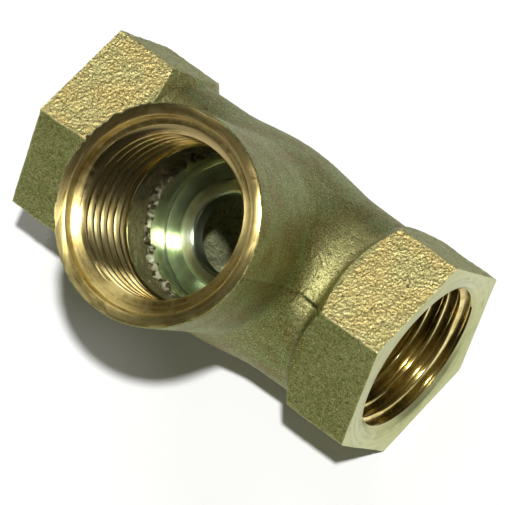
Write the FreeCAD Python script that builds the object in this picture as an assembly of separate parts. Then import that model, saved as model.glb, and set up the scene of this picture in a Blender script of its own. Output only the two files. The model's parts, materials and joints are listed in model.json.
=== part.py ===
import FreeCAD, Part
import math
import os

# Cast bronze tee body for a screw-down or check valve, with its pressed-in seat ring.
# It is modelled with the run along X and the branch along +Z, and at the end it is leaned
# over until it rests on one flat of each hexagon end.
# Lengths are millimetres. "Height" is measured along the branch, from the run's axis.

Vector = FreeCAD.Vector
CENTRE = Vector(0, 0, 0)
RUN = Vector(1, 0, 0)
ACROSS = Vector(0, 1, 0)
BRANCH = Vector(0, 0, 1)

# Run: two hexagon ends and the barrel between them
RUN_FACE = 25.7                 # centre of the body to the face of each run port
HEX_FLATS = 24.4                # across flats
HEX_SIDES = 6
HEX_LENGTH = 8.3                # along a corner
HEX_CORNER_RADIUS = 0.6         # as cast
HEX_NOSE_ANGLE = 52.0           # of the cone that ends the flats, from the run axis
BARREL_RADIUS = 11.9
HEX_LAP = 1.0                   # how far each hexagon's end runs on inside the barrel

# Branch neck
BRANCH_FACE = 28.1              # run axis to the rim
NECK_RIM_RADIUS = 12.7
NECK_FOOT_INSET = 0.1           # how much slimmer than the barrel it is at its foot
NECK_FILLET = 3.6
RIM_CHAMFER = 0.3

# Threaded ports, bored at the minor radius of a G 1/2 pipe thread
PORT_BORE_RADIUS = 9.3
PORT_MOUTH_RADIUS = 10.7        # countersink at each run port
PORT_MOUTH_DEPTH = 1.3
RUN_BORE_DEPTH = 12.0
BRANCH_COUNTERBORE_RADIUS = 11.2
BRANCH_COUNTERBORE_DEPTH = 1.4
BRANCH_MOUTH_RADIUS = 9.6       # small countersink in the counterbore's floor
BRANCH_MOUTH_DEPTH = 0.4
BRANCH_BORE_DEPTH = 13.0        # rim to the end of the thread's bore

# Valve chamber and seat, at the foot of the branch
CHAMBER_RADIUS = 9.6            # as cast, just under the bore
RECESS_RADIUS = 9.1             # machined into the web
RECESS_TOP = 8.8
RECESS_FLOOR = 5.0              # at the recess's wall, rising to the ring
SEAT_HEIGHT = 5.8               # run axis to the seat face
SEAT_RING_RADIUS = 6.6
SEAT_RING_DEPTH = 2.6
SEAT_HOLE_RADIUS = 4.95
SEAT_LIP_CHAMFER = 0.4
SEAT_SHOULDER_RADIUS = 5.5      # hole in the web under the ring

# Cored passages. The core is round about the run, and the web that carries the seat crosses it
# like a Z: down behind the chamber on the -X side, along under the seat, and down to the floor
# on the +X side. A window over the web's sill joins the chamber to the +X port.
CORE_RADIUS = 9.0
WEB_WALL = 2.0                  # thickness of the web's two upright walls
WEB_UNDERSIDE = 2.2             # height of the lower passage's roof
WEB_EDGE_RADIUS = 1.2           # where the lower passage turns under the web
BLIND_END_RADIUS = 3.0          # at the lower passage's closed end
WINDOW_SILL = 5.9
WINDOW_ROOF = 12.0
WINDOW_WIDTH = 14.0
WINDOW_FOOT_MIDDLE = 4.5        # height of its outer end's centre, inside the core
WINDOW_FOOT_WIDTH = 9.0
WINDOW_FOOT_DEPTH = 6.0

NECK_FOOT_RADIUS = BARREL_RADIUS - NECK_FOOT_INSET      # where its axis crosses the run's
HEX_START = RUN_FACE - HEX_LENGTH
RUN_BORE_END = RUN_FACE - RUN_BORE_DEPTH
BRANCH_BORE_END = BRANCH_FACE - BRANCH_BORE_DEPTH
HEX_CORNER = HEX_FLATS / 2 / math.cos(math.pi / HEX_SIDES)
NOSE_SLOPE = math.tan(math.radians(HEX_NOSE_ANGLE))
NOSE_FOOT = HEX_START - (HEX_CORNER - BARREL_RADIUS) / NOSE_SLOPE       # where it meets the barrel
HEX_ROOT = NOSE_FOOT - HEX_LAP
CHAMBER_BACK = CHAMBER_RADIUS + WEB_WALL        # branch axis to the -X upright's outer face
SILL_END = RECESS_RADIUS + WEB_WALL             # and to the +X upright's
LEAN = 180.0 / HEX_SIDES        # degrees that bring a hexagon's flat to the bottom
OVERSHOOT = 1.0                 # how far a cutting tool runs past a face
TOLERANCE = 0.01                # when telling edges apart


def outline_face(points):
    """A planar face through (distance along the run, height) points, on the run's midplane."""
    corners = [Vector(x, 0, height) for x, height in points]
    return Part.Face(Part.makePolygon(corners + corners[:1]))


def turned(points):
    """The solid that (radius, height) points make about the branch axis."""
    return outline_face(points).revolve(CENTRE, BRANCH, 360)


def slab(points, width):
    """An outline on the run's midplane, thickened to both sides of it."""
    shape = outline_face(points).extrude(ACROSS * width)
    shape.translate(ACROSS * (-width / 2))
    return shape


def laid_along_run(shape, direction):
    """Turn a shape made about the branch axis to point along the run, towards +X or -X."""
    laid = shape.copy()
    laid.rotate(CENTRE, ACROSS, 90 * direction)
    return laid


def barrel():
    """The run's outer form between the hexagons."""
    start = Vector(-HEX_START, 0, 0)
    return Part.makeCylinder(BARREL_RADIUS, 2 * HEX_START, start, RUN)


def hexagon_bar():
    """A hexagonal bar about the branch axis, up to the port face, with its corners as cast."""
    corners = []
    for side in range(HEX_SIDES + 1):
        angle = 2 * math.pi * side / HEX_SIDES
        corners.append(Vector(HEX_CORNER * math.cos(angle), HEX_CORNER * math.sin(angle), HEX_ROOT))
    length = RUN_FACE - HEX_ROOT
    bar = Part.Face(Part.makePolygon(corners)).extrude(BRANCH * length)
    long_edges = [edge for edge in bar.Edges if edge.BoundBox.ZLength > length - TOLERANCE]
    return bar.makeFillet(HEX_CORNER_RADIUS, long_edges)


def hexagon_end(direction):
    """One hexagon end with a corner in line with the branch, its flats ended by a cone."""
    cone = turned([
        (0, HEX_ROOT),
        (BARREL_RADIUS - HEX_LAP * NOSE_SLOPE, HEX_ROOT),
        (HEX_CORNER, HEX_START),
        (HEX_CORNER, RUN_FACE),
        (0, RUN_FACE),
    ])
    return laid_along_run(hexagon_bar().common(cone), direction)


def neck():
    """The branch's outer form, with casting draft and a broken edge at the rim."""
    return turned([
        (0, 0),
        (NECK_FOOT_RADIUS, 0),
        (NECK_RIM_RADIUS, BRANCH_FACE - RIM_CHAMFER),
        (NECK_RIM_RADIUS - RIM_CHAMFER, BRANCH_FACE),
        (0, BRANCH_FACE),
    ])


def is_neck_root(edge):
    """Whether an edge is where the neck meets the barrel."""
    box = edge.BoundBox
    between_ends = max(abs(box.XMin), abs(box.XMax)) < HEX_START - TOLERANCE
    above_run = box.ZMin > TOLERANCE
    below_rim = box.ZMax < BARREL_RADIUS + OVERSHOOT
    return between_ends and above_run and below_rim


def casting():
    """The outer form of the casting, filled solid."""
    blank = barrel().fuse(neck()).removeSplitter()
    roots = [edge for edge in blank.Edges if is_neck_root(edge)]
    blank = blank.makeFillet(NECK_FILLET, roots)
    for direction in (1, -1):
        blank = blank.fuse(hexagon_end(direction))
    return blank


def edges_across(shape, x, height):
    """The edges that run straight across the shape at one place on its outline."""
    found = []
    for edge in shape.Edges:
        box = edge.BoundBox
        straight = box.XLength < TOLERANCE and box.ZLength < TOLERANCE
        if straight and abs(box.Center.x - x) < TOLERANCE and abs(box.Center.z - height) < TOLERANCE:
            found.append(edge)
    return found


def web():
    """The Z-shaped web, wider than the core, before the branch's cuts."""
    top = BRANCH_BORE_END
    shape = slab([
        (-CHAMBER_BACK, top),
        (-CHAMBER_BACK, WEB_UNDERSIDE),
        (SILL_END - WEB_WALL, WEB_UNDERSIDE),
        (SILL_END - WEB_WALL, -top),
        (SILL_END, -top),
        (SILL_END, top),
    ], 2 * BARREL_RADIUS)
    shape = shape.makeFillet(WEB_EDGE_RADIUS, edges_across(shape, -CHAMBER_BACK, WEB_UNDERSIDE))
    return shape.makeFillet(BLIND_END_RADIUS, edges_across(shape, SILL_END - WEB_WALL, WEB_UNDERSIDE))


def core():
    """The cored passages: a round core along the run, less the web."""
    reach = RUN_BORE_END + OVERSHOOT
    return Part.makeCylinder(CORE_RADIUS, 2 * reach, Vector(-reach, 0, 0), RUN).cut(web())


def oval_section(x, middle, half_width, half_height):
    """An oval across the run, for lofting the window."""
    centre = Vector(x, 0, middle)
    side = centre + ACROSS * half_width
    top = centre + BRANCH * half_height
    return Part.Wire(Part.Ellipse(side, top, centre).toShape())


def window():
    """The way out of the chamber, level over the sill and then down to the +X port."""
    middle = (WINDOW_ROOF + WINDOW_SILL) / 2
    half_height = (WINDOW_ROOF - WINDOW_SILL) / 2
    inside = oval_section(SEAT_RING_RADIUS, middle, WINDOW_WIDTH / 2, half_height)
    sill = oval_section(SILL_END, middle, WINDOW_WIDTH / 2, half_height)
    foot = oval_section(RUN_BORE_END, WINDOW_FOOT_MIDDLE, WINDOW_FOOT_WIDTH / 2, WINDOW_FOOT_DEPTH / 2)
    return Part.makeLoft([inside, sill], True).fuse(Part.makeLoft([sill, foot], True))


def run_port(direction):
    """The countersunk bore of one run port."""
    bore = turned([
        (0, RUN_FACE + OVERSHOOT),
        (0, RUN_BORE_END),
        (PORT_BORE_RADIUS, RUN_BORE_END),
        (PORT_BORE_RADIUS, RUN_FACE - PORT_MOUTH_DEPTH),
        (PORT_MOUTH_RADIUS, RUN_FACE),
        (PORT_MOUTH_RADIUS, RUN_FACE + OVERSHOOT),
    ])
    return laid_along_run(bore, direction)


def branch_port():
    """Counterbore, thread bore, cast chamber, machined recess and the ring's pocket."""
    floor = BRANCH_FACE - BRANCH_COUNTERBORE_DEPTH
    return turned([
        (0, BRANCH_FACE + OVERSHOOT),
        (BRANCH_COUNTERBORE_RADIUS, BRANCH_FACE + OVERSHOOT),
        (BRANCH_COUNTERBORE_RADIUS, floor),
        (BRANCH_MOUTH_RADIUS, floor),
        (PORT_BORE_RADIUS, floor - BRANCH_MOUTH_DEPTH),
        (PORT_BORE_RADIUS, BRANCH_BORE_END),
        (CHAMBER_RADIUS, BRANCH_BORE_END),
        (CHAMBER_RADIUS, RECESS_TOP),
        (RECESS_RADIUS, RECESS_TOP),
        (RECESS_RADIUS, RECESS_FLOOR),
        (SEAT_RING_RADIUS, SEAT_HEIGHT),
        (SEAT_RING_RADIUS, SEAT_HEIGHT - SEAT_RING_DEPTH),
        (SEAT_SHOULDER_RADIUS, SEAT_HEIGHT - SEAT_RING_DEPTH),
        (SEAT_SHOULDER_RADIUS, 0),
        (0, 0),
    ])


def tee_body():
    """The casting with its cored passages and machined ports."""
    body = casting()
    tools = [core(), window(), branch_port(), run_port(1), run_port(-1)]
    return body.cut(tools).removeSplitter()


def seat_ring():
    """A plain turned ring, pressed into the web, with its inner lip broken."""
    bottom = SEAT_HEIGHT - SEAT_RING_DEPTH
    return turned([
        (SEAT_HOLE_RADIUS, bottom),
        (SEAT_RING_RADIUS, bottom),
        (SEAT_RING_RADIUS, SEAT_HEIGHT),
        (SEAT_HOLE_RADIUS + SEAT_LIP_CHAMFER, SEAT_HEIGHT),
        (SEAT_HOLE_RADIUS, SEAT_HEIGHT - SEAT_LIP_CHAMFER),
    ])


def main():
    pieces = {"tee_body": tee_body(), "seat_ring": seat_ring()}
    for shape in pieces.values():
        shape.rotate(CENTRE, RUN, LEAN)
    box = pieces["tee_body"].optimalBoundingBox()
    to_origin = Vector(-box.Center.x, -box.Center.y, -box.ZMin)
    os.makedirs("parts", exist_ok=True)
    for name, shape in pieces.items():
        shape.translate(to_origin)
        shape.exportStep("parts/" + name + ".step")
        print(name, len(shape.Solids), "solid, valid:", shape.isValid(), round(shape.Volume, 1), "mm3")
    print("branch axis crosses the run axis at", to_origin)


main()
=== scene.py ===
"""A cast bronze valve tee, dressed for rendering.

Shapes are built in millimetres in the fitting's own axes: the run lies along X, the branch
points along Z, and they cross at the origin. to_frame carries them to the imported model's frame.
The body is one solid: a sand-cast blank, from which the cast passages, the machined faces, the
threaded ports and the turned seat are cut. Each cut leaves its own finish on the metal.
"""

import json
import math

import bpy
import numpy as np
from mathutils import Matrix, Vector


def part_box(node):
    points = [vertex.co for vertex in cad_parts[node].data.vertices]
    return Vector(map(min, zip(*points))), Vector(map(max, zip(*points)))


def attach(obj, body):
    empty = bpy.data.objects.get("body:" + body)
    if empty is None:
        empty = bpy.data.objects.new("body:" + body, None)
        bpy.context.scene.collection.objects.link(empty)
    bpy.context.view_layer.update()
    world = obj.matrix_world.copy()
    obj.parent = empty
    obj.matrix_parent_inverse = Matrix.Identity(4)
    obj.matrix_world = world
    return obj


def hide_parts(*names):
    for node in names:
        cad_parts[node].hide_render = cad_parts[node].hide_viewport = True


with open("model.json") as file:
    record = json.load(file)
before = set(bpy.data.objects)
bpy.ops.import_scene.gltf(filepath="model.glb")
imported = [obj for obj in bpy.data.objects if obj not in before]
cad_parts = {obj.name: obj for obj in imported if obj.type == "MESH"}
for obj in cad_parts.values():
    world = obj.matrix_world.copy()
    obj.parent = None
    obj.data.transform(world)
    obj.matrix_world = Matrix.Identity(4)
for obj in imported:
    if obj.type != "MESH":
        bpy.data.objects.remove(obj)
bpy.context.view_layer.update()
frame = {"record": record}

MM = 0.001
WIDE = 20                       # half-width of a cutter that passes the whole casting
OVERSHOOT = 1                   # how far a cutter runs past a face
FACING_CUT = 3                  # thickness of the cutter that faces a port
HAIR = 0.01                     # keeps a cutter's edge off a face
COLUMNS = 240                   # round a turned surface
COARSE_COLUMNS = 48             # round one that is smoothed later

# The casting's outside.
RUN_FACE = 25.7                 # centre of the body to the face of each run port
HEX_FLATS = 24.4                # across flats
HEX_CORNER = HEX_FLATS / math.sqrt(3)
HEX_CORNER_ROUND = 0.35
HEX_NOSE_START = 15.93          # where the nose's cone meets the middle of a flat
HEX_NOSE_SLOPE = 1.28           # how fast its radius grows along the run
HEX_NOSE_ROUND = 0.1
HEX_ROOT_FILLET = 0.35
BARREL_END_RADIUS = 11.75
BARREL_MIDDLE_RADIUS = 12.0
BRANCH_FACE = 28.1              # run axis to the rim
NECK_RIM_RADIUS = 12.7
NECK_FOOT_RADIUS = 11.8
NECK_FLARE = 1.6                # the power by which the neck widens towards its rim
NECK_ROOT_FILLET = 3.6
ALLOWANCE = 0.9                 # metal that facing takes off each end of the casting

# How its surface is meshed, and moved on to where its distance function is zero.
VOXEL = 0.17
SLOPE_STEP = 0.02
SETTLE_ROUNDS = 9
LONGEST_STEP = 0.3              # that a point moves in one round

# Its relief. A pair is the start and end of a smooth change along an axis.
ON_FLAT = (16.2, 17.2)          # where a hexagon's flats take over from the barrel
GRAIN_DEPTH = 0.012
FLAT_GRAIN_DEPTH = 0.034        # more, on the flats
WAVE_DEPTH = 0.02
DRIFT = 0.18                    # how far the parting line wanders
FIN_WIDTH = 0.2
FIN_HEIGHT = 0.02
FIN_RAGGED = 0.06               # more, where it is ragged
FIN_ON_FLAT = 0.08              # more, on the flats
MOULD_STEP = 0.10               # from one mould half to the other
MOULD_STEP_ON_FLAT = 0.06       # less, on the flats
DITCH_OFFSET = 0.35
DITCH_WIDTH = 0.14
DITCH_DEPTH = 0.2
DITCH_REACH = (12.0, 15.5)
WRINKLE_DEPTH = 0.16
WRINKLE_CREST = 0.4             # noise above this is left smooth
WRINKLE_FOOT = (5.0, 8.0)
WRINKLE_HEAD = (-14.5, -11.5)
WRINKLE_REACH = (10.5, 12.5)
NICK_DEPTH = 0.015
BURR_DEPTH = 0.26
BURR_MIDDLE = math.radians(170)         # where round the rim the facing tool left its burr
BURR_SPREAD = 0.9
CORE_ROUGHNESS = ((0.07, 1.1, 11), (0.03, 0.55, 12), (0.10, 2.8, 13))   # depth, size and seed of lumps

# Threads, G 1/2.
THREAD_CREST = 9.316
THREAD_ROOT = 10.478
THREAD_PITCH = 1.814
THREAD_FADE = 1.2               # over this length a thread's foot runs out
THREAD_FORM = (                 # share of the pitch, and of the way from crest to root
    (0.00, 1.0), (0.07, 0.985), (0.12, 0.93), (0.30, 0.50), (0.44, 0.10), (0.49, 0.0),
    (0.54, 0.0), (0.60, 0.10), (0.74, 0.50), (0.91, 0.93), (0.955, 0.985))
THREAD_WELD = 0.0005

# Machined ports.
RUN_MOUTH_RADIUS = 10.2
RUN_MOUTH_DEPTH = 0.9
RUN_BORE_END = 13.7
COUNTERBORE_RADIUS = 11.2
COUNTERBORE_FLOOR = 26.7
BRANCH_MOUTH_RADIUS = 9.65
BRANCH_MOUTH_DEPTH = 0.4
BRANCH_BORE_END = 15.1
BROKEN_EDGE = 0.15
MOUTH_LAND = 0.12               # left between a run port's countersink and its broken edge
CUTTER_LAP = 0.3                # how far the run's thread and countersink run into each other
COUNTERBORE_CORNER = 0.2
BRANCH_THREAD_LAP = 0.4         # how far the branch's thread runs into the counterbore

# Chamber, recess and seat.
CHAMBER_RADIUS = 9.6
CHAMBER_COLUMNS = 400
CHAMBER_STEP = 0.15             # between the points of its profile
CHAMBER_ROUGHNESS = ((0.14, 0.9, 21), (0.09, 0.45, 22))     # depth, size and seed of lumps
LEDGE_HEIGHT = 0.8              # of the broken ledge over the recess
LEDGE_ROUGHNESS = 0.40          # more, at the ledge
LEDGE_BIAS = 0.35               # above 0, more of the ledge stands out than falls back
RECESS_RADIUS = 9.1
RECESS_TOP = 8.8
RECESS_FLOOR = 5.0              # at the recess's wall, rising to the ring
RECESS_CORNER = 0.3
RECESS_CORNER_HEIGHT = 0.35
RECESS_FOOT = 0.2               # where the bore under the seat opens into the lower passage
SEAT_HEIGHT = 5.8
SEAT_RING_RADIUS = 6.6
SEAT_RING_DEPTH = 2.6
SEAT_HOLE_RADIUS = 4.95
SEAT_LIP_CHAMFER = 0.4
SEAT_JOINT = 0.12               # chamfers that make the joint line round the ring
SEAT_SHOULDER_RADIUS = 5.5

# Cast passages.
CORE_RADIUS = 9.0
CORE_COLUMNS = 120
CORE_VOXEL = 0.3
WEB_WALL = 2.0
WEB_UNDERSIDE = 2.2
WEB_EDGE_RADIUS = 1.2
BLIND_END_RADIUS = 3.0
WINDOW_SILL = 5.9
WINDOW_ROOF = 12.0
WINDOW_WIDTH = 14.0
WINDOW_FOOT_MIDDLE = 4.5
WINDOW_FOOT_WIDTH = 9.0
WINDOW_FOOT_DEPTH = 6.0
CHAMBER_BACK = CHAMBER_RADIUS + WEB_WALL
SILL_END = RECESS_RADIUS + WEB_WALL

# The camera and the directions of the lamps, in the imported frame.
CAMERA_TARGET = Vector((0.849, 4.512, 11.466)) * MM
CAMERA_DISTANCE = 446.6 * MM
CAMERA_AZIMUTH = 46.57
CAMERA_ELEVATION = 59.83
CAMERA_ROLL = 6.46
CAMERA_LENS = 270.3
SENSOR_WIDTH = 36
CLIP_END = 100
TO_LAMP = Vector((0.265, -0.163, 0.950))
TO_SOFT_LAMP = Vector((-0.365, 0.300, 0.880))

# The room.
FLOOR_HALF = 3.0
FLOOR_PAINT = (0.95, 0.95, 0.95, 1)
FLOOR_GLOW = (1.0, 0.96, 0.86, 1)
FLOOR_GLOW_STRENGTH = 0.04
ROOM_TINT = (1.0, 1.0, 0.84, 1)
BAND_EDGE = (0.03, 0.08)        # sine of the heights between which the pale band fades
BAND_STRENGTH = 0.7
DOME_STRENGTH = 0.055


# ---------------------------------------------------------------- axes

mounts = {mount["name"]: mount for mount in frame["record"]["mounts"]}
run_axis = Vector(mounts["run_port_right"]["axis"])
branch_axis = Vector(mounts["branch_port"]["axis"])
centre = Vector(mounts["run_port_right"]["pos_m"])
centre -= run_axis * centre.dot(run_axis)
side_axis = branch_axis.cross(run_axis)
turn = Matrix((run_axis, side_axis, branch_axis)).transposed()
to_frame = Matrix.Translation(centre) @ turn.to_4x4() @ Matrix.Scale(MM, 4)


# ---------------------------------------------------------------- noise

SEED = 7
NOISE_TABLE = 4096              # random values that the noise picks from
NOISE_HASH = (73856093, 19349663, 83492791)     # large primes, which scatter the cells over them
NOISE_SHIFT = 37.3              # moves each seed's cells off the others'
NOISE_GAIN = 1.6                # brings the blended values back to about -1..1


def lumps(points, size, seed):
    """Smooth seeded noise of about -1..1 at each point, with lumps about `size` across."""
    table = np.random.default_rng(SEED + seed).uniform(-1, 1, NOISE_TABLE)
    cell = points / size + NOISE_SHIFT * (seed + 1)
    corner = np.floor(cell).astype(np.int64)
    part = cell - corner
    part = part * part * part * (part * (part * 6 - 15) + 10)
    total = np.zeros(len(points))
    for step in np.ndindex(2, 2, 2):
        here = corner + np.array(step)
        index = (here[:, 0] * NOISE_HASH[0]) ^ (here[:, 1] * NOISE_HASH[1]) ^ (here[:, 2] * NOISE_HASH[2])
        weight = np.prod(np.where(step, part, 1 - part), axis=1)
        total += table[index % NOISE_TABLE] * weight
    return total * NOISE_GAIN


def rise(value, low, high):
    """0 below low, 1 above high, and smooth between."""
    share = np.clip((value - low) / (high - low), 0, 1)
    return share * share * (3 - 2 * share)


# ---------------------------------------------------------------- the blank's distance function

SIN_60 = 0.8660254
TAN_30 = 0.57735


def round_union(first, second, radius):
    """Joins two distances with a fillet of the given radius between them."""
    gap = np.hypot(np.maximum(radius - first, 0), np.maximum(radius - second, 0))
    return np.maximum(radius, np.minimum(first, second)) - gap


def round_overlap(first, second, radius):
    """Keeps what is inside both distances, with the edge rounded to the given radius."""
    gap = np.hypot(np.maximum(radius + first, 0), np.maximum(radius + second, 0))
    return np.minimum(-radius, np.maximum(first, second)) + gap


def hexagon_distance(y, z, flats, corner):
    """Distance from a hexagon with corners on Z, its corners rounded."""
    inside = flats / 2 - corner
    y, z = np.abs(y), np.abs(z)
    over = 2 * np.minimum(-SIN_60 * z + 0.5 * y, 0)
    z, y = z + SIN_60 * over, y - 0.5 * over
    z = z - np.clip(z, -TAN_30 * inside, TAN_30 * inside)
    y = y - inside
    return np.hypot(y, z) * np.sign(y) - corner


def blank_distance(points):
    """Distance from the casting's outside, before any machining."""
    x, y, z = points[:, 0], points[:, 1], points[:, 2]
    reach = np.abs(x)
    around = np.hypot(y, z)
    end = RUN_FACE + ALLOWANCE
    swell = BARREL_MIDDLE_RADIUS - BARREL_END_RADIUS
    barrel_radius = BARREL_END_RADIUS + swell * (1 - (x / HEX_NOSE_START) ** 2)
    barrel = np.maximum(around - barrel_radius, reach - end)
    nose = around - HEX_FLATS / 2 - HEX_NOSE_SLOPE * (reach - HEX_NOSE_START)
    nose = nose / math.hypot(1, HEX_NOSE_SLOPE)
    hexagon = hexagon_distance(y, z, HEX_FLATS, HEX_CORNER_ROUND)
    hexagon = np.maximum(round_overlap(hexagon, nose, HEX_NOSE_ROUND), reach - end)
    neck_radius = NECK_FOOT_RADIUS + (NECK_RIM_RADIUS - NECK_FOOT_RADIUS) * (
        np.clip(z / BRANCH_FACE, 0, 1.1) ** NECK_FLARE)
    neck = np.hypot(x, y) - neck_radius
    neck = np.maximum(neck, np.maximum(z - BRANCH_FACE - ALLOWANCE, -z))
    body = round_union(barrel, neck, NECK_ROOT_FILLET)
    return round_union(body, hexagon, HEX_ROOT_FILLET)


def slope(distance, points):
    """Gradient of a distance function at each point."""
    columns = []
    for axis in range(3):
        offset = np.zeros(3)
        offset[axis] = SLOPE_STEP
        columns.append((distance(points + offset) - distance(points - offset)) / (2 * SLOPE_STEP))
    return np.stack(columns, axis=1)


def settle(distance, points):
    """Moves points onto the surface where the distance is zero."""
    flattest = 0.05
    for _ in range(SETTLE_ROUNDS):
        gradient = slope(distance, points)
        length = np.maximum((gradient ** 2).sum(axis=1), flattest)
        step = np.clip(distance(points) / length, -LONGEST_STEP, LONGEST_STEP)
        points = points - step[:, None] * gradient
    return points


def cast_relief(points):
    """How far the sand's grain, the parting seam and the rim's burr move the casting's skin."""
    x, y, z = points[:, 0], points[:, 1], points[:, 2]
    reach = np.abs(x)
    on_flat = rise(reach, *ON_FLAT)
    pebbles = 0.55 * lumps(points, 0.6, 1) + 0.45 * lumps(points, 0.38, 2)
    waves = lumps(points, 3.0, 3)
    relief = (GRAIN_DEPTH + FLAT_GRAIN_DEPTH * on_flat) * (pebbles - 1) + WAVE_DEPTH * (waves - 1)

    # Two mould halves meet on the run's midplane: a thin ragged fin, a step and a ditch beside it.
    ragged = lumps(points * np.array([1, 0.1, 0.1]), 0.8, 4)
    drift = DRIFT * lumps(points * np.array([1, 0.05, 0.05]), 4.0, 5)
    above = (z > 0) & (np.hypot(x, y) > NECK_FOOT_RADIUS)
    fin = np.exp(-((y - drift) / FIN_WIDTH) ** 2) * (FIN_HEIGHT + FIN_RAGGED * ragged + FIN_ON_FLAT * on_flat)
    step_down = MOULD_STEP - MOULD_STEP_ON_FLAT * on_flat
    step_down = step_down * rise(-y, -drift, -drift + 0.25) * rise(y, drift - 2.5, drift - 0.3)
    ditch = np.exp(-((y - drift + DITCH_OFFSET) / DITCH_WIDTH) ** 2) * DITCH_DEPTH * rise(reach, *DITCH_REACH)
    relief += np.where(above, fin - step_down - ditch * (1 - on_flat), 0)

    # Metal that crept into cracks of the mould beside the neck's root.
    near_root = rise(z, *WRINKLE_FOOT) * rise(-z, *WRINKLE_HEAD) * rise(reach, *WRINKLE_REACH) * (1 - on_flat)
    wrinkles = np.minimum(np.abs(lumps(points * np.array([1, 0.5, 1]), 1.1, 6)), WRINKLE_CREST)
    relief -= near_root * WRINKLE_DEPTH * (WRINKLE_CREST - wrinkles)

    # Nicks all round the rim, and a burr that facing threw over part of it.
    by_rim = rise(z, BRANCH_FACE - 0.45, BRANCH_FACE - 0.1)
    turn_to = np.arctan2(y, x)
    chatter = lumps(np.stack([turn_to * NECK_RIM_RADIUS, z * 0, z * 0], axis=1), 0.5, 7)
    burr = np.exp(-(((turn_to - BURR_MIDDLE + np.pi) % (2 * np.pi) - np.pi) / BURR_SPREAD) ** 2)
    relief += by_rim * (NICK_DEPTH + BURR_DEPTH * burr) * (chatter - 0.2)
    return relief


def core_relief(points):
    """How far the sand core's roughness moves the walls of the cast passages."""
    return sum(depth * lumps(points, size, seed) for depth, size, seed in CORE_ROUGHNESS)


# ---------------------------------------------------------------- mesh helpers

def add_object(name, mesh):
    """Links a mesh into the scene as an object."""
    made = bpy.data.objects.new(name, mesh)
    bpy.context.scene.collection.objects.link(made)
    return made


def mesh_from(name, points, faces, material=None):
    """A mesh object from arrays of points and faces."""
    mesh = bpy.data.meshes.new(name)
    mesh.from_pydata([tuple(p) for p in points], [], [tuple(f) for f in faces])
    mesh.validate()
    mesh.update()
    if material:
        mesh.materials.append(material)
    return add_object(name, mesh)


def points_of(mesh):
    """A mesh's vertices as an array."""
    flat = np.empty(len(mesh.vertices) * 3, dtype=np.float32)
    mesh.vertices.foreach_get("co", flat)
    return flat.reshape(-1, 3).astype(np.float64)


def normals_of(mesh):
    """The normals at a mesh's vertices as an array."""
    flat = np.empty(len(mesh.vertices) * 3, dtype=np.float32)
    mesh.vertices.foreach_get("normal", flat)
    return flat.reshape(-1, 3).astype(np.float64)


def move_points(mesh, points):
    """Writes an array back to a mesh's vertices."""
    mesh.vertices.foreach_set("co", points.astype(np.float32).ravel())
    mesh.update()


def apply_modifiers(made):
    """Replaces an object's mesh with what its modifiers make of it."""
    graph = bpy.context.evaluated_depsgraph_get()
    mesh = bpy.data.meshes.new_from_object(made.evaluated_get(graph))
    made.modifiers.clear()
    old = made.data
    made.data = mesh
    bpy.data.meshes.remove(old)


def remesh(made, size, material):
    """Rebuilds a solid's surface as an even mesh of small squares."""
    modifier = made.modifiers.new("remesh", "REMESH")
    modifier.mode = "VOXEL"
    modifier.voxel_size = size
    apply_modifiers(made)
    made.data.materials.clear()
    made.data.materials.append(material)


def combine(target, tool, operation):
    """Joins a tool to the target, or cuts it away, and deletes the tool."""
    modifier = target.modifiers.new("combine", "BOOLEAN")
    modifier.operation = operation
    modifier.object = tool
    modifier.solver = "MANIFOLD"
    modifier.material_mode = "TRANSFER"
    apply_modifiers(target)
    bpy.data.objects.remove(tool)


def ring_faces(rows, columns):
    """Faces of a closed grid of rings, its first and last rows being the two end points."""
    faces = []
    last = 1 + (rows - 1) * columns
    for column in range(columns):
        after = (column + 1) % columns
        faces.append((0, 1 + after, 1 + column))
        faces.append((last + column, last + after, last + columns))
        for row in range(rows - 1):
            low = 1 + row * columns
            high = low + columns
            faces.append((low + column, low + after, high + after, high + column))
    return faces


def lathe(name, profile, material, columns=COLUMNS, rough=None):
    """A solid turned about Z from (radius, height) pairs, listed from its foot to its head."""
    angle = np.arange(columns) * 2 * np.pi / columns
    rings = [np.stack([r * np.cos(angle), r * np.sin(angle), np.full(columns, z)], axis=1)
             for r, z in profile]
    ring_points = np.concatenate(rings)
    if rough:
        ring_points = rough(ring_points)
    points = np.concatenate([[(0, 0, profile[0][1])], ring_points, [(0, 0, profile[-1][1])]])
    return mesh_from(name, points, ring_faces(len(profile), columns), material)


def fill_in(profile, step):
    """Adds points along a profile so that no two are further apart than step."""
    dense = [profile[0]]
    for start, end in zip(profile, profile[1:]):
        count = max(1, math.ceil(math.dist(start, end) / step))
        for index in range(1, count + 1):
            share = index / count
            dense.append(tuple(a + (b - a) * share for a, b in zip(start, end)))
    return dense


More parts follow.
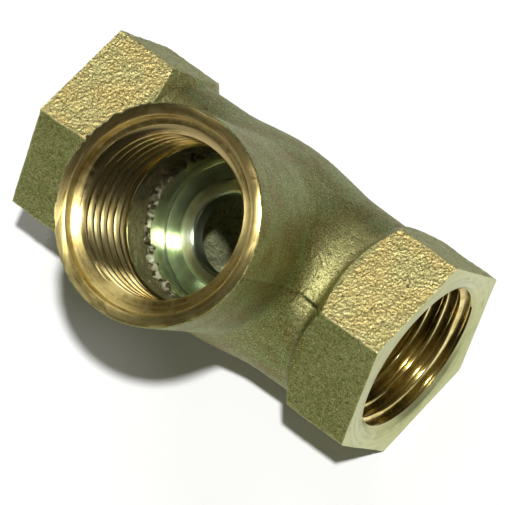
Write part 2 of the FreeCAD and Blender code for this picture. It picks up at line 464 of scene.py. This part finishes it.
def thread(name, foot, head, material):
    """The hole of an internal thread from foot to head, about Z, as a solid.

    The grid's rows follow the helix, so its crests and roots are clean lines.
    """
    turns = math.ceil((head - foot) / THREAD_PITCH) + 2
    places, depths = np.array(THREAD_FORM).T
    along = (np.arange(turns)[:, None] + places[None, :]).ravel()
    depth = np.tile(depths, turns)
    angle = np.arange(COLUMNS) * 2 * np.pi / COLUMNS
    height = foot - THREAD_PITCH + THREAD_PITCH * (along[:, None] + angle[None, :] / (2 * np.pi))
    full = np.repeat(depth[:, None], COLUMNS, axis=1)
    full = full * np.clip((height - foot) / THREAD_FADE, 0, 1)
    radius = THREAD_CREST + (THREAD_ROOT - THREAD_CREST) * full
    radius = np.where((height < foot) | (height > head), THREAD_CREST, radius)
    height = np.clip(height, foot, head)
    grid = np.stack([radius * np.cos(angle), radius * np.sin(angle), height], axis=2)
    points = np.concatenate([[(0, 0, foot)], grid.reshape(-1, 3), [(0, 0, head)]])
    made = mesh_from(name, points, helix_faces(len(along), COLUMNS, len(THREAD_FORM)), material)
    weld(made, THREAD_WELD)
    return made


def helix_faces(rows, columns, per_turn):
    """Faces of a grid of rings whose last column meets the first one thread higher."""
    faces = []
    last = 1 + (rows - 1) * columns

    def corner(row, column):
        if column == columns:
            row, column = row + per_turn, 0
        return 1 + min(row, rows - 1) * columns + column

    for column in range(columns):
        faces.append((0, corner(0, column + 1), corner(0, column)))
        faces.append((corner(rows - 1, column), corner(rows - 1, column + 1), last + columns))
        for row in range(rows - 1):
            faces.append((corner(row, column), corner(row, column + 1),
                          corner(row + 1, column + 1), corner(row + 1, column)))
    return faces


def weld(made, distance):
    """Merges a mesh's points that lie together."""
    modifier = made.modifiers.new("weld", "WELD")
    modifier.merge_threshold = distance
    apply_modifiers(made)


def lay_along_run(made, side):
    """Turns a solid made about Z so that it lies about X, on the given side."""
    made.data.transform(Matrix.Rotation(math.pi / 2 * side, 4, "Y"))


def box(name, low, high, material):
    """A box between two corners."""
    corners = [(x, y, z) for x in (low[0], high[0]) for y in (low[1], high[1])
               for z in (low[2], high[2])]
    faces = [(0, 1, 3, 2), (4, 6, 7, 5), (0, 4, 5, 1), (2, 3, 7, 6), (0, 2, 6, 4), (1, 5, 7, 3)]
    return mesh_from(name, corners, faces, material)


def slab(name, outline, half_width):
    """An outline of (x, z) points, anticlockwise seen from -Y, thickened to both sides in Y."""
    count = len(outline)
    points = [(x, y, z) for y in (-half_width, half_width) for x, z in outline]
    faces = [tuple(range(count)), tuple(range(2 * count - 1, count - 1, -1))]
    for here in range(count):
        after = (here + 1) % count
        faces.append((here, here + count, after + count, after))
    return mesh_from(name, points, faces)


def arc(middle, radius, start, end, steps=6):
    """Points along an arc between two angles in degrees."""
    angles = [math.radians(start + (end - start) * step / steps) for step in range(steps + 1)]
    return [(middle[0] + radius * math.cos(a), middle[1] + radius * math.sin(a)) for a in angles]


# ---------------------------------------------------------------- materials

# Pairs of colours that a finish varies between.
OLIVE = (0.17, 0.20, 0.045), (0.22, 0.25, 0.075)
# A lit copy of the flats' skin, painted where they face up.
PAINTED_LIT_TAN = (0.80, 0.64, 0.25), (0.72, 0.65, 0.28)
BARREL_SKIN = (0.17, 0.15, 0.035), (0.21, 0.25, 0.085)
CORE_SKIN = (0.26, 0.22, 0.09), (0.36, 0.33, 0.17)
RIM = (0.50, 0.36, 0.09), (0.86, 0.70, 0.28)
GOLD = (0.56, 0.43, 0.14), (0.90, 0.76, 0.36)
CREAM = (0.38, 0.40, 0.19), (0.49, 0.50, 0.26)
PALE = (0.66, 0.75, 0.44), (0.88, 0.99, 0.72)

# Single ones.
# Painted light: the pale patch on the neck's root where it faces up.
PAINTED_LIT_ROOT = (0.58, 0.54, 0.24)
DARK_SPECK = (0.09, 0.08, 0.025)
LIGHT_SPECK = (0.66, 0.64, 0.30)
WORN = (0.90, 0.78, 0.42)
PIT = (0.06, 0.055, 0.03)
PARTING_LINE = (0.05, 0.045, 0.02)
# Painted shade in the gaps of the broken ledge.
LEDGE_PAINTED_SHADE = (0.09, 0.07, 0.03)
LEDGE_CRUMB = (0.62, 0.63, 0.42)
LOWER_PASSAGE = (0.30, 0.32, 0.17)
CORE_PIT = (0.10, 0.08, 0.04)
# Painted shade, nearly black and brown.
PAINTED_SHADE_BLACK = (0.05, 0.035, 0.015)
PAINTED_SHADE_BROWN = (0.13, 0.06, 0.02)

# Where a finish changes: a start and an end along the run, up the branch, or from -1, facing
# down, to 1, facing up.
FLAT_FINISH = (16.4, 17.0)
# Painted light: how far a flat must face up to be painted tan.
PAINTED_LIT_FACING = (0.78, 0.98)
# Painted light: where the neck's root is painted pale.
ROOT_REACH = (9.0, 13.5)
ROOT_HEIGHT = (5.0, 8.0)
ROOT_FACING = (0.45, 0.85)
LINE_EDGE = (0.05, 0.30)
LINE_REACH = (11.5, 15.5)
LINE_HEIGHT = (2.0, 6.0)
PASSAGE_HEIGHT = (2.0, 4.0)
# Where painted shade darkens the branch's +Y side.
SHADE_HEIGHT = (5.0, 6.5)
SHADE_EDGE = (0.0, 5.5)         # across the branch
SHADE_SLANT = 0.6
SHADE_WOBBLE = 1.5


class Finish:
    """A node material, with short ways to add and link its nodes."""

    def __init__(self, name, roughness, metallic=1.0):
        self.material = bpy.data.materials.new(name)
        self.material.use_nodes = True
        self.tree = self.material.node_tree
        self.surface = self.tree.nodes["Principled BSDF"]
        self.surface.inputs["Metallic"].default_value = metallic
        self.surface.inputs["Roughness"].default_value = roughness
        self.place = self.fitting_axes()

    def add(self, kind, links=(), **settings):
        """Adds a node; links are (input, socket) pairs and settings are its properties."""
        node = self.tree.nodes.new("ShaderNode" + kind)
        for key, value in settings.items():
            setattr(node, key, value)
        for key, value in links:
            if isinstance(value, bpy.types.NodeSocket):
                self.tree.links.new(value, node.inputs[key])
            else:
                node.inputs[key].default_value = value
        return node

    def fitting_axes(self):
        """Each point's place in the fitting's own axes, in millimetres."""
        shift, rotation, scale = to_frame.inverted().decompose()
        here = self.add("TexCoord").outputs["Object"]
        return self.add("Mapping", [("Vector", here), ("Location", shift),
                                    ("Rotation", rotation.to_euler()), ("Scale", scale)]).outputs[0]

    def math(self, operation, first, second=0.0, clamp=False):
        """A number worked out from one or two others."""
        node = self.add("Math", [(0, first), (1, second)], operation=operation, use_clamp=clamp)
        return node.outputs[0]

    def ramp(self, value, low, high, start=0.0, end=1.0):
        """A value carried smoothly from low..high to start..end."""
        node = self.add("MapRange", [("Value", value), ("From Min", low), ("From Max", high),
                                     ("To Min", start), ("To Max", end)])
        node.interpolation_type = "SMOOTHSTEP"
        return node.outputs["Result"]

    def noise(self, scale, detail=3.0, rough=0.55, stretch=None, place=None):
        """Noise with about `scale` lumps to the millimetre, perhaps stretched along an axis."""
        place = place or self.place
        if stretch:
            place = self.add("VectorMath", [(0, place), (1, stretch)], operation="MULTIPLY").outputs[0]
        node = self.add("TexNoise", [("Vector", place), ("Scale", scale), ("Detail", detail),
                                     ("Roughness", rough)])
        return node.outputs[0]

    def mix(self, share, first, second):
        """Two colours mixed by a share."""
        node = self.add("Mix", data_type="RGBA")
        for index, value in ((0, share), (6, first), (7, second)):
            if isinstance(value, bpy.types.NodeSocket):
                self.tree.links.new(value, node.inputs[index])
            elif index:
                node.inputs[index].default_value = (*value, 1)
            else:
                node.inputs[index].default_value = value
        return node.outputs[2]

    def split(self):
        """The three coordinates in the fitting's own axes."""
        return self.add("SeparateXYZ", [(0, self.place)]).outputs

    def bump(self, heights):
        """Bumps from (height, depth in millimetres) pairs, laid over each other."""
        normal = None
        for height, depth in heights:
            links = [("Height", height), ("Distance", depth * MM), ("Strength", 1.0)]
            if normal:
                links.append(("Normal", normal))
            normal = self.add("Bump", links).outputs[0]
        self.tree.links.new(normal, self.surface.inputs["Normal"])

    def colour(self, socket):
        """Takes the base colour from a node."""
        self.tree.links.new(socket, self.surface.inputs["Base Color"])

    def roughness(self, socket):
        """Takes the roughness from a node."""
        self.tree.links.new(socket, self.surface.inputs["Roughness"])

    def painted_shade(self, x, y, z, most):
        """Painted shade: how far the branch's +Y side, which lies in shade, is darkened, up to a share of
        `most`.
        """
        side = self.math("SUBTRACT", y, self.math("MULTIPLY", x, SHADE_SLANT))
        wobble = self.ramp(self.noise(0.7, 3.0), 0, 1, -SHADE_WOBBLE, SHADE_WOBBLE)
        share = self.ramp(self.math("ADD", side, wobble), *SHADE_EDGE, 0.0, most)
        return self.math("MULTIPLY", share, self.ramp(z, *SHADE_HEIGHT))

    def peaks(self, low, high):
        """1 on worn peaks and edges, 0 in pits and corners."""
        return self.ramp(self.add("NewGeometry").outputs["Pointiness"], low, high)


def cast_skin():
    """The sand-cast outside: olive and speckled, with painted light that turns the flats facing up tan."""
    made = Finish("cast_skin", 0.55)
    x, y, z = made.split()
    reach = made.math("ABSOLUTE", x)
    on_flat = made.ramp(reach, *FLAT_FINISH)
    facing = made.add("NewGeometry").outputs["Normal"]
    upward = made.add("VectorMath", [(0, facing), (1, (0, 0, 1))], operation="DOT_PRODUCT").outputs["Value"]
    uneven = made.math("MULTIPLY", made.noise(2.5), 0.12)
    # Painted light: how far a surface faces up, blurred by noise.
    painted_lit = made.ramp(made.math("ADD", upward, uneven), *PAINTED_LIT_FACING)
    patches = made.ramp(made.noise(0.25, 4.0, 0.6), 0.35, 0.65)
    grain = made.noise(2.6, 3.0, 0.6)
    fine = made.noise(6.5, 2.0, 0.6)
    streaks = made.noise(4.0, 3.0, 0.6, stretch=(1.0, 1.0, 0.35))
    pits = made.ramp(made.noise(1.7, 1.0, 0.4), 0.71, 0.76)
    cells = made.add("TexVoronoi", [("Vector", made.place), ("Scale", 2.9)], feature="SMOOTH_F1")
    pebbles = made.math("MULTIPLY", made.ramp(cells.outputs["Distance"], 0.1, 0.7, 1.0, 0.0), on_flat)

    # Colour: the barrel, with painted light on the neck's root where it faces up, and the flats, painted tan
    # as light where they face up.
    # Painted light: a pale patch on the neck's root where it faces up.
    painted_lit_root = made.math("MULTIPLY", made.ramp(reach, *ROOT_REACH), made.ramp(z, *ROOT_HEIGHT))
    painted_lit_root = made.math("MULTIPLY", painted_lit_root, made.ramp(upward, *ROOT_FACING, 0.0, 0.75))
    smooth = made.mix(painted_lit_root, made.mix(patches, *BARREL_SKIN), PAINTED_LIT_ROOT)
    # Painted light: flats that face up take the lit tan copy of the olive skin.
    flats = made.mix(painted_lit, made.mix(patches, *OLIVE), made.mix(patches, *PAINTED_LIT_TAN))
    base = made.mix(on_flat, smooth, flats)
    base = made.mix(made.ramp(fine, 0.36, 0.52, 0.75, 0.0), base, DARK_SPECK)
    base = made.mix(made.ramp(fine, 0.54, 0.68, 0.0, 0.5), base, LIGHT_SPECK)
    worn = made.math("MULTIPLY", made.peaks(0.48, 0.56), made.ramp(on_flat, 0, 1, 0.06, 0.40))
    base = made.mix(worn, base, WORN)
    base = made.mix(made.math("MULTIPLY", pits, 0.6), base, PIT)

    # The parting line, dark off the flats and fading towards the branch.
    off_line = made.math("ABSOLUTE", made.math("ADD", y, made.ramp(grain, 0, 1, -0.05, 0.55)))
    line = made.ramp(off_line, *LINE_EDGE, 0.8, 0.0)
    line = made.math("MULTIPLY", line, made.math("SUBTRACT", 1.0, on_flat))
    line = made.math("MULTIPLY", line, made.ramp(reach, *LINE_REACH, 0.1, 1.0))
    line = made.math("MULTIPLY", line, made.ramp(z, *LINE_HEIGHT))
    made.colour(made.mix(line, base, PARTING_LINE))

    made.roughness(made.ramp(grain, 0.3, 0.7, 0.64, 0.48))
    made.bump([(pebbles, 0.07), (grain, 0.10), (streaks, 0.03), (fine, 0.05), (pits, -0.05)])
    return made.material


def cast_core():
    """The rough, darker skin that the sand cores left inside."""
    made = Finish("cast_core", 0.55, metallic=0.9)
    patches = made.noise(0.4, 3.0)
    grain = made.noise(2.6, 4.0, 0.65)
    x, y, z = made.split()
    base = made.mix(patches, *CORE_SKIN)
    # Painted shade: the ledge's band darkened as if its gaps lay in shade, with light crumbs scattered over
    # it.
    ledge = made.math("MULTIPLY", made.ramp(z, RECESS_TOP - 0.5, RECESS_TOP - 0.1),
                      made.ramp(z, RECESS_TOP + 0.7, RECESS_TOP + 1.5, 1.0, 0.0))
    crumbs = made.ramp(made.noise(1.5, 2.0, 0.5), 0.46, 0.56)
    base = made.mix(ledge, base, LEDGE_PAINTED_SHADE)
    base = made.mix(made.math("MULTIPLY", ledge, crumbs), base, LEDGE_CRUMB)
    base = made.mix(made.ramp(z, *PASSAGE_HEIGHT, 1.0, 0.0), base, LOWER_PASSAGE)
    base = made.mix(made.ramp(grain, 0.3, 0.5, 0.6, 0.0), base, CORE_PIT)
    # Painted shade: the passages' +Y side darkened nearly black.
    base = made.mix(made.painted_shade(x, y, z, 0.7), base, PAINTED_SHADE_BLACK)
    made.colour(base)
    made.roughness(made.ramp(grain, 0.3, 0.7, 0.65, 0.4))
    made.bump([(grain, 0.22)])
    return made.material


def turned_metal(name, along, colours, roughness, ring_depth, sheen, painted_shade=0.0, root_shade=0.0):
    """Metal turned about the branch ("Z") or the run ("X"): fine rings and streaked highlights.

    Its +Y side is darkened brown with painted shade, and a thread's root is darkened with painted shade,
    each up to a share that is passed in.
    """
    made = Finish(name, roughness)
    dull, bright = colours
    x, y, z = made.split()
    first, second, height = (x, y, z) if along == "Z" else (y, z, x)
    radius = made.math("SQRT", made.math("ADD", made.math("MULTIPLY", first, first),
                                         made.math("MULTIPLY", second, second)))
    rings = made.add("CombineXYZ", [(0, radius), (1, height),
                                    (2, made.math("MULTIPLY", first, 0.02))]).outputs[0]
    tool_marks = made.noise(9.0, 3.0, 0.7, place=rings)
    bands = made.noise(1.6, 2.0, 0.5, place=rings)
    patches = made.noise(0.5, 3.0, 0.6)
    specks = made.ramp(made.noise(5.0, 2.0, 0.5), 0.64, 0.72, 0.0, 0.6)
    tarnish = made.mix(made.ramp(patches, 0.35, 0.65), dull, bright)
    base = made.mix(made.ramp(bands, 0.40, 0.60), tarnish, bright)
    base = made.mix(specks, base, tuple(part * 0.35 for part in dull))
    # Painted shade: the +Y side darkened brown.
    base = made.mix(made.painted_shade(x, y, z, painted_shade), base, PAINTED_SHADE_BROWN)
    # Painted shade in a thread's root.
    in_root = made.ramp(radius, THREAD_CREST + 0.15, THREAD_ROOT - 0.2, 0.0, root_shade)
    base = made.mix(in_root, base, PAINTED_SHADE_BLACK)
    base = made.mix(made.math("MULTIPLY", made.peaks(0.53, 0.62), 0.5), base, bright)
    made.colour(base)
    made.roughness(made.ramp(tool_marks, 0.3, 0.7, roughness * 0.8, roughness * 1.25))
    made.bump([(tool_marks, ring_depth)])
    axis = branch_axis if along == "Z" else run_axis
    here = made.add("TexCoord").outputs["Object"]
    away = made.add("VectorMath", [(0, here), (1, centre)], operation="SUBTRACT").outputs[0]
    about = made.add("VectorMath", [(0, axis), (1, away)], operation="CROSS_PRODUCT").outputs[0]
    about = made.add("VectorMath", [(0, about)], operation="NORMALIZE").outputs[0]
    made.tree.links.new(about, made.surface.inputs["Tangent"])
    made.surface.inputs["Anisotropic"].default_value = sheen
    made.surface.inputs["Anisotropic Rotation"].default_value = 0.25
    return made.material


skin = cast_skin()
core_skin = cast_core()
# Each finish's share of painted shade on the +Y side and in its thread roots.
rim_faced = turned_metal("rim_faced", "Z", RIM, 0.36, 0.012, sheen=0.8, painted_shade=0.45)
end_faced = turned_metal("end_faced", "X", CREAM, 0.36, 0.008, sheen=0.6)
branch_threaded = turned_metal("branch_threaded", "Z", GOLD, 0.17, 0.004, sheen=0.5, painted_shade=0.6, root_shade=0.5)
run_threaded = turned_metal("run_threaded", "X", GOLD, 0.18, 0.004, sheen=0.5, root_shade=0.35)
seat_turned = turned_metal("seat_turned", "Z", PALE, 0.17, 0.008, sheen=0.9, painted_shade=0.55)
ring_turned = turned_metal("ring_turned", "Z", PALE, 0.20, 0.006, sheen=0.9, painted_shade=0.3)


# ---------------------------------------------------------------- the casting

def start_cylinder(radius, low, high):
    """A coarse cylinder about Z that the blank's surface is settled from."""
    return lathe("start", [(radius, low), (radius, high)], None, COARSE_COLUMNS)


def cast_blank():
    """The sand-cast outside as a closed solid, settled from four rough cylinders."""
    made = start_cylinder(BARREL_MIDDLE_RADIUS, -RUN_FACE - ALLOWANCE, RUN_FACE + ALLOWANCE)
    lay_along_run(made, 1)
    for side in (1, -1):
        end = start_cylinder(HEX_CORNER, HEX_NOSE_START, RUN_FACE + 1.1 * ALLOWANCE)
        lay_along_run(end, side)
        combine(made, end, "UNION")
    combine(made, start_cylinder(NECK_FOOT_RADIUS, 0, BRANCH_FACE + ALLOWANCE), "UNION")
    remesh(made, VOXEL, skin)
    points = settle(blank_distance, points_of(made.data))
    normals = slope(blank_distance, points)
    normals = normals / np.linalg.norm(normals, axis=1)[:, None]
    move_points(made.data, points + normals * cast_relief(points)[:, None])
    made.name = "tee_casting"
    return made


def window():
    """The way out of the chamber: level over the sill, then down to the +X port."""
    middle = (WINDOW_ROOF + WINDOW_SILL) / 2
    height = (WINDOW_ROOF - WINDOW_SILL) / 2
    # Each oval's place along the run, height, half-width and half-height.
    ovals = [(RUN_BORE_END, WINDOW_FOOT_MIDDLE, WINDOW_FOOT_WIDTH / 2, WINDOW_FOOT_DEPTH / 2),
             (SILL_END, middle, WINDOW_WIDTH / 2, height),
             (SEAT_RING_RADIUS, middle, WINDOW_WIDTH / 2, height)]
    angle = np.arange(COARSE_COLUMNS) * 2 * np.pi / COARSE_COLUMNS
    rings = [np.stack([np.full(COARSE_COLUMNS, x), half_width * np.cos(angle),
                       z + half_height * np.sin(angle)], axis=1)
             for x, z, half_width, half_height in reversed(ovals)]
    ends = [(ovals[-1][0], 0, ovals[-1][1]), (ovals[0][0], 0, ovals[0][1])]
    points = np.concatenate([[ends[0]], *rings, [ends[1]]])
    return mesh_from("window", points, ring_faces(len(ovals), COARSE_COLUMNS))


def passages():
    """The cast passages: a round core along the run, less the web, with the window joined on."""
    reach = RUN_BORE_END + OVERSHOOT
    upright = SILL_END - WEB_WALL
    edge_middle = (-CHAMBER_BACK + WEB_EDGE_RADIUS, WEB_UNDERSIDE + WEB_EDGE_RADIUS)
    blind_middle = (upright - BLIND_END_RADIUS, WEB_UNDERSIDE - BLIND_END_RADIUS)
    web = slab("web", [
        *arc(edge_middle, WEB_EDGE_RADIUS, 180, 270),
        *arc(blind_middle, BLIND_END_RADIUS, 90, 0),
        (upright, -BRANCH_BORE_END),
        (SILL_END, -BRANCH_BORE_END),
        (SILL_END, BRANCH_BORE_END),
        (-CHAMBER_BACK, BRANCH_BORE_END),
    ], WIDE)
    made = lathe("core", [(CORE_RADIUS, -reach), (CORE_RADIUS, reach)], None, CORE_COLUMNS)
    lay_along_run(made, 1)
    combine(made, web, "DIFFERENCE")
    combine(made, window(), "UNION")
    remesh(made, CORE_VOXEL, core_skin)
    points = points_of(made.data)
    move_points(made.data, points + normals_of(made.data) * core_relief(points)[:, None])
    return made


def rough_chamber():
    """The cast chamber between the branch's thread and the machined recess."""
    profile = fill_in([(CHAMBER_RADIUS - 1.4, RECESS_TOP - 0.5),
                       (RECESS_RADIUS, RECESS_TOP),
                       (CHAMBER_RADIUS, RECESS_TOP + LEDGE_HEIGHT),
                       (CHAMBER_RADIUS, BRANCH_BORE_END - 0.2),
                       (THREAD_CREST - 0.15, BRANCH_BORE_END + 0.1)], CHAMBER_STEP)

    def roughen(points):
        """Moves the wall in and out with the sand's lumps, most of all at the ledge."""
        around = np.hypot(points[:, 0], points[:, 1])
        ledge = 1 - rise(points[:, 2], RECESS_TOP + 0.6, RECESS_TOP + 1.6)
        push = sum(depth * lumps(points, size, seed) for depth, size, seed in CHAMBER_ROUGHNESS)
        push = push + ledge * LEDGE_ROUGHNESS * (lumps(points, 0.8, 23) - LEDGE_BIAS)
        below_thread = rise(-points[:, 2], -BRANCH_BORE_END - 0.1, -BRANCH_BORE_END + 0.5)
        push = push * below_thread
        return points * np.stack([1 + push / around, 1 + push / around, np.ones(len(points))], axis=1)

    return lathe("chamber", profile, core_skin, CHAMBER_COLUMNS, roughen)


def run_port(casting, side):
    """Faces, countersinks and threads one port of the run."""
    low, high = sorted((side * RUN_FACE, side * (RUN_FACE + FACING_CUT)))
    combine(casting, box("facing", (low, -WIDE, -WIDE), (high, WIDE, WIDE), end_faced), "DIFFERENCE")
    mouth = lathe("mouth", [(THREAD_CREST - CUTTER_LAP, RUN_FACE - RUN_MOUTH_DEPTH - CUTTER_LAP),
                            (RUN_MOUTH_RADIUS, RUN_FACE - MOUTH_LAND),
                            (RUN_MOUTH_RADIUS + BROKEN_EDGE, RUN_FACE + HAIR),
                            (RUN_MOUTH_RADIUS + BROKEN_EDGE, RUN_FACE + OVERSHOOT)], end_faced)
    lay_along_run(mouth, side)
    combine(casting, mouth, "DIFFERENCE")
    bore = thread("run_thread", RUN_BORE_END, RUN_FACE - CUTTER_LAP, run_threaded)
    lay_along_run(bore, side)
    combine(casting, bore, "DIFFERENCE")


def branch_port(casting):
    """Faces, counterbores and threads the branch, then bores the seat at its foot."""
    facing = box("facing", (-WIDE, -WIDE, BRANCH_FACE), (WIDE, WIDE, BRANCH_FACE + FACING_CUT), rim_faced)
    combine(casting, facing, "DIFFERENCE")
    mouth = lathe("mouth", [(THREAD_CREST - 0.2, COUNTERBORE_FLOOR - BRANCH_MOUTH_DEPTH - 0.1),
                            (BRANCH_MOUTH_RADIUS, COUNTERBORE_FLOOR),
                            (COUNTERBORE_RADIUS - COUNTERBORE_CORNER, COUNTERBORE_FLOOR),
                            (COUNTERBORE_RADIUS, COUNTERBORE_FLOOR + COUNTERBORE_CORNER),
                            (COUNTERBORE_RADIUS, BRANCH_FACE - BROKEN_EDGE),
                            (COUNTERBORE_RADIUS + BROKEN_EDGE, BRANCH_FACE + HAIR),
                            (COUNTERBORE_RADIUS + BROKEN_EDGE, BRANCH_FACE + OVERSHOOT)], rim_faced)
    combine(casting, mouth, "DIFFERENCE")
    combine(casting, rough_chamber(), "DIFFERENCE")
    head = COUNTERBORE_FLOOR + BRANCH_THREAD_LAP
    bore = thread("branch_thread", BRANCH_BORE_END, head, branch_threaded)
    combine(casting, bore, "DIFFERENCE")
    drop = (SEAT_HEIGHT - RECESS_FLOOR) / (RECESS_RADIUS - SEAT_RING_RADIUS)
    recess = lathe("recess", [(SEAT_SHOULDER_RADIUS, RECESS_FOOT),
                              (SEAT_SHOULDER_RADIUS, SEAT_HEIGHT - SEAT_RING_DEPTH),
                              (SEAT_RING_RADIUS, SEAT_HEIGHT - SEAT_RING_DEPTH),
                              (SEAT_RING_RADIUS, SEAT_HEIGHT - 1.5 * SEAT_JOINT),
                              (SEAT_RING_RADIUS + SEAT_JOINT, SEAT_HEIGHT - drop * SEAT_JOINT),
                              (RECESS_RADIUS - RECESS_CORNER, RECESS_FLOOR + RECESS_CORNER * drop),
                              (RECESS_RADIUS, RECESS_FLOOR + RECESS_CORNER_HEIGHT),
                              (RECESS_RADIUS, RECESS_TOP + 0.3)], seat_turned)
    combine(casting, recess, "DIFFERENCE")


def seat_ring():
    """The seat ring pressed into the web, with a rounded lip and its joint left open a hair."""
    foot = SEAT_HEIGHT - SEAT_RING_DEPTH
    made = lathe("seat_ring_turned", [(SEAT_RING_RADIUS, foot),
                                      (SEAT_RING_RADIUS, SEAT_HEIGHT - 1.5 * SEAT_JOINT),
                                      (SEAT_RING_RADIUS - SEAT_JOINT, SEAT_HEIGHT)], ring_turned)
    lip_radius = SEAT_HOLE_RADIUS + SEAT_LIP_CHAMFER
    lip = arc((lip_radius, SEAT_HEIGHT - SEAT_LIP_CHAMFER), SEAT_LIP_CHAMFER, 180, 90)
    hole = lathe("hole", [(SEAT_HOLE_RADIUS, foot - OVERSHOOT), *lip,
                          (lip_radius, SEAT_HEIGHT + OVERSHOOT)], ring_turned)
    combine(made, hole, "DIFFERENCE")
    return made


def put_in_place(made, node, sharp):
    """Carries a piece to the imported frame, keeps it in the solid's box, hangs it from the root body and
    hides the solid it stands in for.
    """
    made.data.transform(to_frame)
    low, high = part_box(node)
    move_points(made.data, np.clip(points_of(made.data), low, high))
    made.data.shade_smooth()
    made.data.set_sharp_from_angle(angle=math.radians(sharp))
    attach(made, "root")
    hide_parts(node)


casting = cast_blank()
combine(casting, passages(), "DIFFERENCE")
branch_port(casting)
for side in (1, -1):
    run_port(casting, side)
put_in_place(casting, "tee_body", 50)
put_in_place(seat_ring(), "seat_ring", 35)


# ---------------------------------------------------------------- floor, light and camera

def floor():
    """A plain pale floor that shows white where the lamp reaches it."""
    made = Finish("floor_paint", 0.9, metallic=0.0)
    made.surface.inputs["Base Color"].default_value = FLOOR_PAINT
    made.surface.inputs["Specular IOR Level"].default_value = 0
    corners = [(x * FLOOR_HALF, y * FLOOR_HALF, 0) for x, y in ((-1, -1), (1, -1), (1, 1), (-1, 1))]
    ground = mesh_from("floor", corners, [(0, 1, 2, 3)], made.material)
    ray = made.add("LightPath").outputs
    seen = made.math("ADD", ray["Is Camera Ray"], ray["Is Glossy Ray"])
    seen = made.math("ADD", seen, ray["Is Transmission Ray"], clamp=True)
    made.surface.inputs["Emission Color"].default_value = FLOOR_GLOW
    glow = made.math("MULTIPLY", seen, FLOOR_GLOW_STRENGTH)
    made.tree.links.new(glow, made.surface.inputs["Emission Strength"])


def lamp(name, towards, strength, width):
    """A lamp far away, so many degrees across."""
    light = bpy.data.lights.new(name, "SUN")
    light.energy = strength
    light.angle = math.radians(width)
    made = bpy.data.objects.new(name, light)
    made.rotation_euler = towards.to_track_quat("Z", "Y").to_euler()
    bpy.context.scene.collection.objects.link(made)


def surroundings():
    """A dim room with a pale band just above the horizon."""
    world = bpy.data.worlds.new("room")
    bpy.context.scene.world = world
    world.use_nodes = True
    nodes, links = world.node_tree.nodes, world.node_tree.links
    direction = nodes.new("ShaderNodeTexCoord").outputs["Generated"]
    apart = nodes.new("ShaderNodeSeparateXYZ")
    links.new(direction, apart.inputs[0])
    band = nodes.new("ShaderNodeMapRange")
    band.interpolation_type = "SMOOTHSTEP"
    links.new(apart.outputs[2], band.inputs["Value"])
    for key, value in (("From Min", BAND_EDGE[0]), ("From Max", BAND_EDGE[1]),
                       ("To Min", BAND_STRENGTH), ("To Max", DOME_STRENGTH)):
        band.inputs[key].default_value = value
    links.new(band.outputs["Result"], nodes["Background"].inputs["Strength"])
    nodes["Background"].inputs["Color"].default_value = ROOM_TINT


def camera():
    """The camera, turned about its line of sight by the roll."""
    azimuth, elevation = math.radians(CAMERA_AZIMUTH), math.radians(CAMERA_ELEVATION)
    back = Vector((math.sin(azimuth) * math.cos(elevation),
                   -math.cos(azimuth) * math.cos(elevation), math.sin(elevation)))
    lens = bpy.data.cameras.new("camera")
    lens.lens = CAMERA_LENS
    lens.sensor_width = SENSOR_WIDTH
    lens.clip_end = CLIP_END
    made = bpy.data.objects.new("camera", lens)
    level = back.to_track_quat("Z", "Y").to_matrix().to_4x4()
    roll = Matrix.Rotation(-math.radians(CAMERA_ROLL), 4, "Z")
    made.matrix_world = Matrix.Translation(CAMERA_TARGET + back * CAMERA_DISTANCE) @ level @ roll
    bpy.context.scene.collection.objects.link(made)
    bpy.context.scene.camera = made


floor()
lamp("main_lamp", TO_LAMP, 3.0, 3)
lamp("soft_lamp", TO_SOFT_LAMP, 0.40, 34)
surroundings()
camera()
bpy.context.scene.view_settings.view_transform = "Standard"
